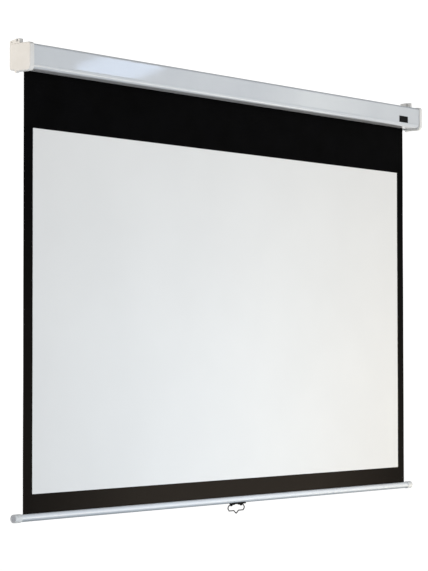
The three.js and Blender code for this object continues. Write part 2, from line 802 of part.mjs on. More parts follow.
function hemRod() {
  const end = clothHalfWidth;
  const half = clothThickness / 2 + seatGap;
  const top = hemRodRadius + cutOverrun;
  const floor = hemRodRadius - hemRodSlotDepth;
  const slot = block([-end - cutOverrun, -half, floor], [end + cutOverrun, half, top]);
  return cut(rod(hemRodRadius, -end, end), slot).translate(0, 0, hemRodZ);
}

function knob() {
  const end = barEndX;
  const bore = barRadius + seatGap;
  const floor = end - knobEndWall;
  const edge = Array.from({ length: bendSteps + 1 }, (_, k) => {
    const angle = (Math.PI / 2) * (k / bendSteps);
    const [inward, back] = [1 - Math.cos(angle), 1 - Math.sin(angle)];
    return [knobRadius - knobEdgeRadius * inward, end - knobEdgeRadius * back];
  });
  return turned([
    [0, floor],
    [bore, floor],
    [bore, end - knobLength],
    [knobRadius - seatGap, end - knobLength],
    [knobRadius, end - knobLength + knobEdgeRadius],
    ...edge,
    [knobDishRadius, end],
    [knobDishRadius - knobDishDepth, end - knobDishDepth],
    [0, end - knobDishDepth],
  ]);
}

// Wire pull, about its pivot, and the saddle that carries it

const pullZ = -saddleDrop - 2 * seatGap - wireRadius;

function wirePull() {
  const half = [
    [veeHalfWidth, -pullSpanDrop, veeCorner],
    [pullFoot, -pullSpanDrop, pullCorner / 2],
    [pullHalfWidth, -pullWaistDrop, pullCorner],
    [pullShoulder, 0, pullCorner / 2],
    [pullInnerEnd, 0, 0],
  ];
  const path = rounded([
    ...half.map(([x, z, radius]) => [-x, z, radius]).reverse(),
    [0, -pullHeight, veeCorner],
    ...half,
  ], false);
  return wire(path.map(([x, z]) => new THREE.Vector3(x, 0, z)), wireRadius, wireSides);
}

function pullSaddle() {
  const [from, to] = [saddleOffset - saddleLength / 2, saddleOffset + saddleLength / 2];
  const plate = prism(rounded([
    [-saddleWidth / 2, -saddleDrop + saddleCorner * 2, 0],
    [-saddleWidth / 2, -saddleDrop, saddleCorner],
    [saddleWidth / 2, -saddleDrop, saddleCorner],
    [saddleWidth / 2, -saddleDrop + saddleCorner * 2, 0],
    [saddleWidth / 2, -barRadius / 2, 0],
    [-saddleWidth / 2, -barRadius / 2, 0],
  ]), from, to);
  const earReach = wireRadius + seatGap + earWall;
  const ears = [-1, 1].map((side) => prism(rounded([
    [-earWidth / 2, -saddleDrop + saddleCorner, 0],
    [-earWidth / 2, pullZ - earReach, earReach],
    [earWidth / 2, pullZ - earReach, earReach],
    [earWidth / 2, -saddleDrop + saddleCorner, 0],
  ]), -earThickness / 2, earThickness / 2).translate(pullOffset + side * earSpacing / 2, 0, 0));
  const eye = rod(wireRadius + seatGap, pullOffset - earSpacing, pullOffset + earSpacing);
  const seat = rod(barRadius + seatGap, from - cutOverrun, to + cutOverrun, roundSides);
  const shankHole = screwShankRadius + seatGap;
  const holes = saddleScrewX.map((x) => upright(shankHole, x, 0, -saddleDrop - cutOverrun, 0));
  return cut(join(plate, ...ears), seat, ...holes, eye.translate(0, 0, pullZ));
}

// Assembly

const group = new THREE.Group();

const housing = new THREE.Group();
housing.add(
  piece('housing_case', housingCase(), materials.case),
  piece('end_cap_left', mirrored(endCap(lugs.left)), materials.cap),
  piece('end_cap_right', endCap(lugs.right), materials.cap),
);
for (const [side, way] of Object.entries(ends)) {
  capScrewY.forEach((y, k) => {
    const mesh = piece(`cap_screw_${side}_${k ? 'rear' : 'front'}`, screw(capScrewLength), materials.steel);
    mesh.rotation.y = Math.PI / 2;
    mesh.position.set(way * capScrewX, y, caseBottom - capFootDrop + capScrewSink - seatGap);
    housing.add(mesh);
  });
}

const drive = new THREE.Group();
drive.position.set(0, axisY, 0);
const bushHole = throughBracket(bushBore + bushWall + seatGap);
drive.add(
  piece('roller_bracket_left', mirrored(bracketPlate(bushHole)), materials.steel),
  piece('roller_bracket_right', bracketPlate(bladeSlot()), materials.steel),
  piece('idle_bush', mirrored(idleBush()), materials.bush),
  piece('spindle', spindle(), materials.steel),
  piece('spindle_retaining_ring', retainingRing(), materials.spring),
  piece('ratchet_wheel', ratchetWheel(), materials.steel),
  piece('torsion_spring', torsionSpring(), materials.spring),
  piece('spring_anchor', springAnchor(), materials.bush),
);
for (const [side, way] of Object.entries(ends)) {
  bracketScrews.forEach(([y, z], k) => {
    const name = `bracket_screw_${side}_${k ? 'lower' : 'upper'}`;
    const mesh = piece(name, screw(bracketScrewLength), materials.steel);
    mesh.rotation.z = way > 0 ? Math.PI : 0;
    mesh.position.set(way * (bracketInnerX - seatGap), y, z);
    drive.add(mesh);
  });
}

const roller = new THREE.Group();
roller.position.copy(drive.position);
const tube = pipe(rollerRadius, rollerRadius - rollerWall, -rollerEndX, rollerEndX);
roller.add(
  piece('roller_tube', tube, materials.steel),
  piece('spring_end_plug', endPlug(spindleRadius + seatGap, true), materials.bush),
  piece('idle_end_plug', mirrored(endPlug(idlePinRadius + seatGap, false)), materials.bush),
  piece('idle_pin', mirrored(idlePin()), materials.steel),
  piece('cloth_wraps', clothWraps(), materials.black),
  piece('cloth_strip', clothStrip(), materials.bush),
);
for (let k = 0; k < pawlCount; k += 1) {
  const { x: y, y: z } = pawlPivot(k);
  const pin = piece(`pawl_pin_${k + 1}`, pawlPin(), materials.steel);
  const lever = piece(`pawl_${k + 1}`, pawl(k), materials.steel);
  pin.position.set(0, y, z);
  lever.position.set(0, y, z);
  roller.add(pin, lever);
}

const screen = new THREE.Group();
screen.position.set(0, clothY, 0);
const clothEnd = barZ + hemRodZ + hemRodRadius - hemRodSlotDepth + seatGap;
const clothFront = -clothThickness / 2;
const surfaceFront = clothFront - surfaceThickness;
const cloth = block([-clothHalfWidth, clothFront, clothEnd], [clothHalfWidth, -clothFront, 0]);
const surfaceEnd = pictureWidth / 2;
const surface = block([-surfaceEnd, surfaceFront, pictureBottom], [surfaceEnd, clothFront, pictureTop]);
screen.add(
  piece('screen_cloth', cloth, materials.black),
  piece('picture_surface', surface, materials.picture),
);

const bar = new THREE.Group();
bar.position.set(0, clothY, barZ);
bar.add(
  piece('bar_tube', barTube(), materials.bar),
  piece('hem_rod', hemRod(), materials.steel),
  piece('bar_knob_left', mirrored(knob()), materials.knob),
  piece('bar_knob_right', knob(), materials.knob),
  piece('pull_saddle', pullSaddle(), materials.bracket),
);
Object.keys(ends).forEach((side, k) => {
  const mesh = piece(`saddle_screw_${side}`, screw(saddleScrewLength), materials.bracket);
  mesh.rotation.y = Math.PI / 2;
  mesh.position.set(saddleScrewX[k], 0, -saddleDrop - seatGap);
  bar.add(mesh);
});
const pull = piece('wire_pull', wirePull(), materials.steel);
pull.position.set(pullOffset, 0, pullZ);
bar.add(pull);

group.add(housing, drive, roller, screen, bar);

export default group;
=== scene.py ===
"""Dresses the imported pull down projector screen: its housing, cloth, roller, bottom bar and wire pull.

Lengths are metres. X runs along the housing, Y runs back to the wall and Z runs up. The origin is the
middle of the housing's back face, on the wall. The screen is modelled pulled down.
"""
from __future__ import annotations

import json
import logging
import math
from dataclasses import dataclass
from enum import Enum
from typing import Callable, Sequence

import bmesh
import bpy
from mathutils import Euler, Matrix, Vector

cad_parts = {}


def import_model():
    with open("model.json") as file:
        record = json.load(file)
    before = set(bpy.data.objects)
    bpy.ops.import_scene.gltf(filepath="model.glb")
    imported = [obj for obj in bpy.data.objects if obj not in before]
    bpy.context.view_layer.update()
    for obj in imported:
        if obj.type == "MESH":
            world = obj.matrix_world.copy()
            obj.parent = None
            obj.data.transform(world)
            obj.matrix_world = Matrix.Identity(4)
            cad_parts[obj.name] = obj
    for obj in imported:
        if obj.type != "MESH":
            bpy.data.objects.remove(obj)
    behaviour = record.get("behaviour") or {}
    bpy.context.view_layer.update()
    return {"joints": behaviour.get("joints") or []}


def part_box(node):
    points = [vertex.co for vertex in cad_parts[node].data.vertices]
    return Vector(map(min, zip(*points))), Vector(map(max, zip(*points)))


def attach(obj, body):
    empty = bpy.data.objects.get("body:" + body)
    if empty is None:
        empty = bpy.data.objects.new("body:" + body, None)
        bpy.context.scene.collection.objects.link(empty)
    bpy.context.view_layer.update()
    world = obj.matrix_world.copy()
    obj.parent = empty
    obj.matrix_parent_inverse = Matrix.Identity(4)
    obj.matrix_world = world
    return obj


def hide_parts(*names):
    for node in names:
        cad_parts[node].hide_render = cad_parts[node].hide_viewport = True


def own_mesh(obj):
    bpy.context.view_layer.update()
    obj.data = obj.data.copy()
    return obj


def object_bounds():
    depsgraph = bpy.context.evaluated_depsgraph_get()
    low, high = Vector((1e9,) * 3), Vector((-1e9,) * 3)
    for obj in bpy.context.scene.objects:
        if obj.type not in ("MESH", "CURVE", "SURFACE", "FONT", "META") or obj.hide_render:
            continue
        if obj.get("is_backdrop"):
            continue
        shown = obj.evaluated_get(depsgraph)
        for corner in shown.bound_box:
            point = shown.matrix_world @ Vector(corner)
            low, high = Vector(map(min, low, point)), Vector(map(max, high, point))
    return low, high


logging.basicConfig(level=logging.INFO, format="%(name)s: %(message)s")
log = logging.getLogger("projector_screen")

MM = 0.001
# How far a cutter reaches past what it cuts
OVERRUN = 2 * MM
# The gap between pieces that hold each other
SEAT = 0.3 * MM
# Places that are closer than this are one place
HAIR = 0.05 * MM
# Points that are closer than this are merged
DOUBLE = 0.002 * MM
# The least share of an edge's length along an axis, for an edge that lies along it
STRAIGHT = 0.999
# The least part of a normal along an axis, for a face that looks along it
SQUARE_ON = 0.95

Object = bpy.types.Object
Socket = bpy.types.NodeSocket
Pair = tuple[float, float]
Triple = tuple[float, float, float]
Colour = Triple
Test = Callable[..., bool]


class End(Enum):
    """The two ends of the screen, as the nodes spell them."""

    LEFT = "left"
    RIGHT = "right"


class Body(Enum):
    """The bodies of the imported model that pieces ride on."""

    HOUSING = "housing"
    ROLLER = "roller"
    BAR = "bottom_bar"
    PULL = "pull"


def centre(node: str) -> Vector:
    """Gives the middle of a node's box."""
    low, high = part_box(node)
    return (low + high) / 2


def take(*pieces: Object) -> None:
    """Leaves edit mode and selects only the given pieces, the first of them active."""
    if bpy.context.mode != "OBJECT":
        bpy.ops.object.mode_set(mode="OBJECT")
    bpy.ops.object.select_all(action="DESELECT")
    for piece in pieces:
        piece.select_set(True)
    if pieces:
        bpy.context.view_layer.objects.active = pieces[0]


def christen(name: str) -> Object:
    """Names the new primitive and puts its place and scale into its mesh."""
    piece = bpy.context.active_object
    piece.name = name
    piece.data.name = name
    bpy.ops.object.transform_apply(location=True, rotation=True, scale=True)
    return piece


def block(name: str, low: Sequence[float], high: Sequence[float]) -> Object:
    """Adds a cube primitive that reaches from its lowest corner to its highest."""
    take()
    low, high = Vector(low), Vector(high)
    bpy.ops.mesh.primitive_cube_add(size=1, location=(low + high) / 2)
    bpy.context.active_object.scale = high - low
    return christen(name)


def rod(name: str, radius: float, start: Sequence[float], end: Sequence[float], sides: int = 48,
        open_ends: bool = False) -> Object:
    """Adds a cylinder primitive between the middles of its two ends, with so many faces round."""
    take()
    start, end = Vector(start), Vector(end)
    axis = end - start
    bpy.ops.mesh.primitive_cylinder_add(
        vertices=sides, radius=radius, depth=axis.length, location=(start + end) / 2,
        rotation=axis.to_track_quat("Z", "Y").to_euler(),
        end_fill_type="NOTHING" if open_ends else "NGON")
    return christen(name)


def middle(item: bmesh.types.BMEdge | bmesh.types.BMFace) -> Vector:
    """Gives the middle of an edge or a face."""
    points = [vertex.co for vertex in item.verts]
    return sum(points, Vector()) / len(points)


def near(value: float, target: float) -> bool:
    """Tells whether a place is at another, within a hair."""
    return abs(value - target) < HAIR


def runs_along(edge: bmesh.types.BMEdge, axis: int) -> bool:
    """Tells whether an edge lies along an axis, 0 for X, 1 for Y and 2 for Z."""
    way = edge.verts[1].co - edge.verts[0].co
    return way.length > 0 and abs(way[axis]) > STRAIGHT * way.length


def along_x_at(y: float, z: float) -> Test:
    """Gives a test for the edge that runs along X at a place of the section."""
    return lambda edge: runs_along(edge, 0) and near(middle(edge).y, y) and near(middle(edge).z, z)


def facing(x: float = 0, y: float = 0, z: float = 0) -> Test:
    """Gives a test for the faces that look one way along an axis."""
    way = Vector((x, y, z))
    return lambda face: face.normal.dot(way) > SQUARE_ON


def pick(piece: Object, element: str, test: Test) -> None:
    """Enters edit mode and selects what passes a test, among its edges (EDGE) or faces (FACE)."""
    if bpy.context.mode != "EDIT_MESH" or bpy.context.active_object != piece:
        take(piece)
        bpy.ops.object.mode_set(mode="EDIT")
    bpy.ops.mesh.select_mode(type=element)
    bpy.ops.mesh.select_all(action="DESELECT")
    mesh = bmesh.from_edit_mesh(piece.data)
    for item in mesh.edges if element == "EDGE" else mesh.faces:
        if test(item):
            item.select_set(True)
    bmesh.update_edit_mesh(piece.data)


def pick_edges(piece: Object, test: Test) -> None:
    """Selects the edges that pass a test."""
    pick(piece, "EDGE", test)


def pick_faces(piece: Object, test: Test) -> None:
    """Selects the faces that pass a test."""
    pick(piece, "FACE", test)


def open_up(piece: Object, test: Test) -> None:
    """Deletes the faces that pass a test."""
    pick_faces(piece, test)
    bpy.ops.mesh.delete(type="FACE")


def slice_faces(piece: Object, test: Test, place: Sequence[float], normal: Sequence[float]) -> None:
    """Cuts a line across the faces that pass a test, along the plane through a place."""
    pick_faces(piece, test)
    bpy.ops.mesh.bisect(plane_co=place, plane_no=normal)


def round_picked(radius: float, segments: int) -> None:
    """Rounds the picked edges."""
    bpy.ops.mesh.bevel(offset=radius, segments=segments, affect="EDGES")


def round_along_x(piece: Object, corners: Sequence[Triple], segments: int) -> None:
    """Rounds the edges that run along X, each given by its Y, its Z and its radius."""
    for y, z, radius in corners:
        pick_edges(piece, along_x_at(y, z))
        round_picked(radius, segments)


def modify(piece: Object, kind: str, **settings: object) -> Object:
    """Adds a modifier with its settings to a piece and applies it."""
    take(piece)
    modifier = piece.modifiers.new(kind.title(), kind)
    for key, value in settings.items():
        setattr(modifier, key, value)
    bpy.ops.object.modifier_apply(modifier=modifier.name)
    return piece


def combine(piece: Object, operation: str, *others: Object) -> Object:
    """Cuts others out of a piece (DIFFERENCE) or fuses them with it (UNION), and removes them."""
    for other in others:
        modify(piece, "BOOLEAN", operation=operation, solver="EXACT", object=other)
        bpy.data.objects.remove(other)
    return piece


def soften(piece: Object, width: float, segments: int = 2, sharper_than: float = 35) -> Object:
    """Breaks a piece's edges by a small bevel where they are sharper than an angle in degrees."""
    return modify(piece, "BEVEL", width=width, segments=segments, limit_method="ANGLE",
                  angle_limit=math.radians(sharper_than))


def face_out(piece: Object) -> Object:
    """Merges a piece's doubles and turns its faces outward."""
    take(piece)
    bpy.ops.object.mode_set(mode="EDIT")
    bpy.ops.mesh.select_all(action="SELECT")
    bpy.ops.mesh.remove_doubles(threshold=DOUBLE)
    bpy.ops.mesh.normals_make_consistent(inside=False)
    bpy.ops.object.mode_set(mode="OBJECT")
    return piece


def copy_of(piece: Object, name: str) -> Object:
    """Makes a copy of a piece, with its own mesh."""
    take(piece)
    bpy.ops.object.duplicate(linked=False)
    return christen(name)


def mirrored(piece: Object, name: str) -> Object:
    """Makes a copy of a piece, mirrored to the other end."""
    twin = copy_of(piece, name)
    twin.data.transform(Matrix.Scale(-1, 4, Vector((1, 0, 0))))
    return face_out(twin)


def swept(name: str, points: Sequence[Vector], radius: float, sides: int) -> Object:
    """Makes a round wire, as a mesh, along the points of its middle line."""
    take()
    curve = bpy.data.curves.new(name, "CURVE")
    curve.dimensions = "3D"
    curve.bevel_depth = radius
    curve.bevel_resolution = sides // 4 - 1
    curve.use_fill_caps = True
    line = curve.splines.new("POLY")
    line.points.add(len(points) - 1)
    for place, point in zip(line.points, points):
        place.co = (*point, 1)
    piece = bpy.data.objects.new(name, curve)
    bpy.context.scene.collection.objects.link(piece)
    take(piece)
    bpy.ops.object.convert(target="MESH")
    return face_out(piece)


def round_axis(axis: Vector, x: float, radius: float, angle: float) -> Vector:
    """Gives the point at an angle round an axis that runs along X."""
    return Vector((x, axis.y + radius * math.cos(angle), axis.z + radius * math.sin(angle)))


def rounded_line(corners: Sequence[Triple], steps: int = 8) -> list[Pair]:
    """Gives the points of a line whose corners, each two coordinates and a radius, are rounded by arcs."""
    line = []
    for index, (u, v, radius) in enumerate(corners):
        here = Vector((u, v))
        if radius == 0 or index in (0, len(corners) - 1):
            line.append((u, v))
            continue
        back = (Vector(corners[index - 1][:2]) - here).normalized()
        ahead = (Vector(corners[index + 1][:2]) - here).normalized()
        half = back.angle(ahead) / 2
        arc_centre = here + (back + ahead).normalized() * radius / math.sin(half)
        start = here + back * radius / math.tan(half) - arc_centre
        end = here + ahead * radius / math.tan(half) - arc_centre
        turn = start.angle_signed(end)
        for step in range(steps + 1):
            point = arc_centre + Matrix.Rotation(-turn * step / steps, 2) @ start
            line.append((point.x, point.y))
    return line


def paint(code: str) -> Colour:
    """Turns a six digit sRGB code into a linear colour."""
    parts = [int(code[index:index + 2], 16) / 255 for index in (0, 2, 4)]
    return tuple(part / 12.92 if part <= 0.04045 else ((part + 0.055) / 1.055) ** 2.4 for part in parts)


class Nodes:
    """Lays out the nodes of a material, a world or a light."""

    def __init__(self, owner: bpy.types.ID) -> None:
        """Starts with the nodes that the owner comes with."""
        owner.use_nodes = True
        self.tree = owner.node_tree

    def own(self, kind: str) -> bpy.types.Node:
        """Finds the node of a type that the owner comes with."""
        return next(node for node in self.tree.nodes if node.type == kind)

    def feed(self, socket: Socket, value: object) -> None:
        """Links a socket to another, or gives it a value."""
        if isinstance(value, Socket):
            self.tree.links.new(value, socket)
        else:
            socket.default_value = value

    def add(self, kind: str, **inputs: object) -> bpy.types.Node:
        """Adds a node, with a value or a socket for each input by its name with spaces as underscores."""
        node = self.tree.nodes.new(kind)
        for key, value in inputs.items():
            self.feed(node.inputs[key.replace("_", " ")], value)
        return node

    def maths(self, operation: str, first: object, second: object) -> Socket:
        """Gives the sum, product or other result of two values."""
        node = self.tree.nodes.new("ShaderNodeMath")
        node.operation = operation
        for socket, value in zip(node.inputs, (first, second)):
            self.feed(socket, value)
        return node.outputs["Value"]

    def magnitude(self, value: Socket) -> Socket:
        """Gives a value without its sign."""
        return self.maths("ABSOLUTE", value, 0)

    def split(self, value: Socket, axis: str) -> Socket:
        """Gives one coordinate of a point or a direction."""
        return self.add("ShaderNodeSeparateXYZ", Vector=value).outputs[axis]

    def ranged(self, value: Socket, low: float, high: float, start: float = 0.3, end: float = 0.7) -> Socket:
        """Gives a value moved from a pattern's own span to another."""
        return self.add("ShaderNodeMapRange", Value=value, From_Min=start, From_Max=end, To_Min=low,
                        To_Max=high).outputs["Result"]

    def between(self, share: Socket, *colours: Colour | Socket) -> Socket:
        """Gives a colour between two by a share."""
        node = self.add("ShaderNodeMix")
        node.data_type = "RGBA"
        self.feed(node.inputs["Factor"], share)
        for socket, colour in zip([socket for socket in node.inputs if socket.type == "RGBA"], colours):
            self.feed(socket, colour if isinstance(colour, Socket) else (*colour, 1))
        return next(socket for socket in node.outputs if socket.type == "RGBA")


class Bench(Nodes):
    """Lays out the nodes of a new material round its shader."""

    def __init__(self, name: str) -> None:
        """Starts the material with its shader and its coordinates."""
        self.material = bpy.data.materials.new(name)
        super().__init__(self.material)
        self.shader = self.own("BSDF_PRINCIPLED")
        self.place = self.add("ShaderNodeTexCoord").outputs["Object"]

    def shade(self, inputs: dict[str, object]) -> None:
        """Sets or links inputs of the shader, by their names."""
        for key, value in inputs.items():
            self.feed(self.shader.inputs[key], value)

    def stretched(self, scale: Sequence[float]) -> Socket:
        """Gives the coordinates, stretched by a scale for each axis."""
        return self.add("ShaderNodeMapping", Vector=self.place, Scale=scale).outputs["Vector"]

    def cloud(self, per_metre: float, detail: float = 3, place: Socket | None = None) -> Socket:
        """Gives a soft random pattern with so many patches in a metre."""
        return self.add("ShaderNodeTexNoise", Vector=place or self.place, Scale=per_metre, Detail=detail,
                        Roughness=0.55).outputs["Fac"]

    def threads(self, pitch: float) -> Socket:
        """Gives the height of a plain weave with threads a pitch apart along X and Z."""
        unscaled_pitch = math.pi / 10
        waves = []
        for direction in ("X", "Z"):
            wave = self.add("ShaderNodeTexWave", Vector=self.place, Scale=unscaled_pitch / pitch,
                            Distortion=0.4, Detail=1)
            wave.bands_direction = direction
            waves.append(wave.outputs["Fac"])
        return self.maths("MAXIMUM", *waves)


@dataclass(frozen=True)
class Finish:
    """A surface finish. Patches and grain are counted in a metre, and relief is the height of the grain."""

    name: str
    colour: str
    patch_colour: str
    patches: float
    roughness: Pair
    grain: float
    relief: float
    metallic: float = 0
    specular: float = 0.5
    coat: float = 0
    coat_roughness: float = 0.2
    gloss_patches: float = 2.7

    def make(self) -> bpy.types.Material:
        """Builds the material."""
        bench = Bench(self.name)
        bench.shade({
            "Metallic": self.metallic, "Specular IOR Level": self.specular,
            "Coat Weight": self.coat, "Coat Roughness": self.coat_roughness,
            "Base Color": self.tone(bench), "Roughness": self.gloss(bench)})
        bump = bench.add("ShaderNodeBump", Height=self.height(bench), Strength=1.0, Distance=self.relief)
        bench.shade({"Normal": bump.outputs["Normal"]})
        return bench.material

    def tone(self, bench: Bench) -> Socket:
        """Gives the base colour, which drifts in soft patches."""
        share = bench.ranged(bench.cloud(self.patches), 0, 1)
        return bench.between(share, paint(self.colour), paint(self.patch_colour))

    def gloss(self, bench: Bench) -> Socket:
        """Gives the roughness, which drifts a little."""
        return bench.ranged(bench.cloud(self.patches * self.gloss_patches, detail=4), *self.roughness)

    def height(self, bench: Bench) -> Socket:
        """Gives the height of the grain."""
        return bench.cloud(self.grain, detail=2)


@dataclass(frozen=True)
class PowderCoat(Finish):
    """Baked paint: a faint orange peel with grit on it that is finer by a factor."""

    grit: float = 4

    def height(self, bench: Bench) -> Socket:
        """Gives a soft peel with a finer grit added."""
        peel = bench.cloud(self.grain, detail=1)
        return bench.maths("ADD", peel, bench.cloud(self.grain * self.grit, detail=2))


@dataclass(frozen=True)
class FacedCoat(PowderCoat):
    """Paint with another tone where the normal's part along an axis reaches from one value to another. The
    case and the bar take it as painted light and shade on their down facing sides, the knobs as their greyer
    end faces.
    """

    axis: str = "Z"
    both_ways: bool = False
    faced_span: Pair = (-0.9, -0.99)
    faced_colour: str = "000000"

    def tone(self, bench: Bench) -> Socket:
        """Gives the base colour, blended into the other tone by the surface's normal."""
        surface = bench.add("ShaderNodeNewGeometry")
        part = bench.split(surface.outputs["Normal"], self.axis)
        if self.both_ways:
            part = bench.magnitude(part)
        share = bench.ranged(part, 0, 1, *self.faced_span)
        return bench.between(share, super().tone(bench), paint(self.faced_colour))


@dataclass(frozen=True)
class Brushed(Finish):
    """Metal worked along its length, with fine lines that run with X."""

    line_stretch: Triple = (0.04, 1, 1)

    def height(self, bench: Bench) -> Socket:
        """Gives fine lines along X."""
        return bench.cloud(self.grain, place=bench.stretched(self.line_stretch))


@dataclass(frozen=True)
class Woven(Finish):
    """Coated cloth: a fine plain weave that shows through, with a painted warm light that browns it down its
    foot, less so at its sides.
    """

    pitch: float = 0.9 * MM
    thread_shade: float = 0.35
    # A painted warm light browns the cloth toward its foot and fades toward its sides.
    painted_foot_light: str = "000000"
    painted_foot_span: Pair = (0, -1)
    side_span: Pair = (0.45, 1)
    side_share: float = 0.35

    def height(self, bench: Bench) -> Socket:
        """Gives the weave's threads."""
        return bench.threads(self.pitch)

    def tone(self, bench: Bench) -> Socket:
        """Gives the base colour, darker between the threads and browned at the foot by a painted warm light.
        """
        deep = bench.ranged(bench.threads(self.pitch), 1, 0, start=0.2, end=0.8)
        shade = bench.maths("MULTIPLY", deep, self.thread_shade)
        woven = bench.between(shade, super().tone(bench), paint(self.patch_colour))
        # Painted warm light: browner toward the foot, less so toward the sides.
        foot = bench.ranged(bench.split(bench.place, "Z"), 0, 1, *self.painted_foot_span)
        aside = bench.magnitude(bench.split(bench.place, "X"))
        inward = bench.ranged(aside, 1, self.side_share, *self.side_span)
        return bench.between(bench.maths("MULTIPLY", foot, inward), woven, paint(self.painted_foot_light))


FINISHES: dict[str, Finish] = {
    # The case's faces that look straight down take a painted light tone, lighter and greyer than the coat.
    "case": FacedCoat("housing powder coat", "c1c5c9", "bbbfc4", 6, (0.34, 0.42), 700, 0.03 * MM,
                      specular=0.4, coat=1.0, coat_roughness=0.05, faced_colour="ccccce"),
    "cap": PowderCoat("cap moulding", "dfdedc", "dad9d6", 25, (0.5, 0.6), 2200, 0.03 * MM),
    # The bar's down facing side is blended into a darker tone, a painted shade.
    "bar": FacedCoat("bar powder coat", "dce0e5", "d7dbe0", 8, (0.28, 0.36), 800, 0.04 * MM, coat=0.3,
                     coat_roughness=0.15, faced_span=(0.05, -0.8), faced_colour="8f979e"),
    "knob": FacedCoat("knob moulding", "dcdddd", "d2d4d5", 40, (0.42, 0.52), 2400, 0.03 * MM, axis="X",
                      both_ways=True, faced_span=(0.9, 0.99), faced_colour="b4b7bd"),
    "steel": Brushed("zinc plate", "a9aaa8", "8f918f", 30, (0.32, 0.46), 3000, 0.02 * MM, metallic=1.0),
    "wire": Brushed("dark pull wire", "17130f", "0e0c0a", 60, (0.5, 0.6), 3000, 0.02 * MM, specular=0.12),
    "spring": Brushed("spring steel", "55585c", "44464a", 60, (0.35, 0.5), 3000, 0.02 * MM, metallic=1.0),
    "bush": PowderCoat("plug moulding", "e6e4dc", "dad7cc", 40, (0.5, 0.6), 2000, 0.03 * MM),
    # The black cloth's foot is browned by a painted warm light.
    "black": Woven("black screen cloth", "060607", "040404", 9, (0.85, 0.95), 0, 0.05 * MM, specular=0.03,
                   painted_foot_light="2b2621", painted_foot_span=(-0.3, -1.3)),
    "picture": PowderCoat("matt white coating", "dfdfde", "dcdcdb", 3, (0.85, 0.95), 2600, 0.02 * MM,
                          specular=0.1),
    "bracket": PowderCoat("black paint", "080808", "050505", 40, (0.5, 0.6), 1500, 0.03 * MM, specular=0.06),
}


@dataclass
class Maker:
    """Makes pieces and dresses them in the materials of the record's slots."""

    materials: dict[str, bpy.types.Material]

    def dress(self, piece: Object, slot: str) -> None:
        """Gives a piece the material of a slot."""
        piece.data.materials.clear()
        piece.data.materials.append(self.materials[slot])

    def hand_over(self, piece: Object, body: Body, slot: str, *stands_for: str, smooth: float = 40) -> None:
        """Smooths a piece up to an angle in degrees, dresses it and reports what it stands for."""
        take(piece)
        bpy.ops.object.shade_smooth_by_angle(angle=math.radians(smooth))
        modify(piece, "WEIGHTED_NORMAL", keep_sharp=True, weight=100)
        self.dress(piece, slot)
        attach(piece, body.value)
        if stands_for:
            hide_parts(*stands_for)
        log.info("%s rides on %s with finish %s", piece.name, body.value, slot)


@dataclass
class Screws(Maker):
    """The pan head screws: one is modelled for each use and copied."""

    head_radius: float = 3.5 * MM
    head_height: float = 2.2 * MM
    shank_radius: float = 1.7 * MM
    tip_share: float = 0.5
    recess_width: float = 1.0 * MM
    recess_depth: float = 1.1 * MM
    recess_span: float = 3.8 * MM
    rim: float = 0.7 * MM
    steel_length: float = 6 * MM
    saddle_length: float = 5 * MM

    def build(self) -> None:
        """Puts the screws into the caps' feet, the roller brackets and the saddle."""
        for kind, places, body, length, slot in [
                ("cap", ("_front", "_rear"), Body.HOUSING, self.steel_length, "steel"),
                ("bracket", ("_upper", "_lower"), Body.HOUSING, self.steel_length, "steel"),
                ("saddle", ("",), Body.BAR, self.saddle_length, "bracket")]:
            master = self.master(length)
            for end in End:
                for place in places:
                    self.copy(master, f"{kind}_screw_{end.value}{place}", body, slot)
            bpy.data.objects.remove(master)

    def master(self, length: float) -> Object:
        """Models a screw whose head points down from the origin."""
        head = rod("screw_master", self.head_radius, (0, 0, 0), (0, 0, -self.head_height), sides=32)
        pick_edges(head, lambda edge: near(middle(edge).z, -self.head_height))
        round_picked(self.rim, segments=4)
        shank = rod("shank", self.shank_radius, (0, 0, -self.head_height / 2), (0, 0, length), sides=24)
        pick_faces(shank, lambda face: near(middle(face).z, length))
        bpy.ops.transform.resize(value=(self.tip_share, self.tip_share, 1))
        combine(head, "UNION", shank)
        low, high = -self.head_height - OVERRUN, -self.head_height + self.recess_depth
        half, reach = self.recess_width / 2, self.recess_span / 2
        return combine(
            head, "DIFFERENCE",
            block("recess_a", (-reach, -half, low), (reach, half, high)),
            block("recess_b", (-half, -reach, low), (half, reach, high)))

    def copy(self, master: Object, node: str, body: Body, slot: str) -> None:
        """Puts a copy of the screw in a node's place, its head down or toward the screen's middle."""
        low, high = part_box(node)
        seat, size = centre(node), high - low
        copy = copy_of(master, node.replace("screw", "pan_screw"))
        if size.x > size.z:
            way = -1 if seat.x > 0 else 1
            copy.data.transform(Matrix.Rotation(way * -math.pi / 2, 4, "Y"))
            seat.x = low.x + self.head_height if way < 0 else high.x - self.head_height
        else:
            seat.z = low.z + self.head_height
        copy.data.transform(Matrix.Translation(seat))
        self.hand_over(copy, body, slot, node)


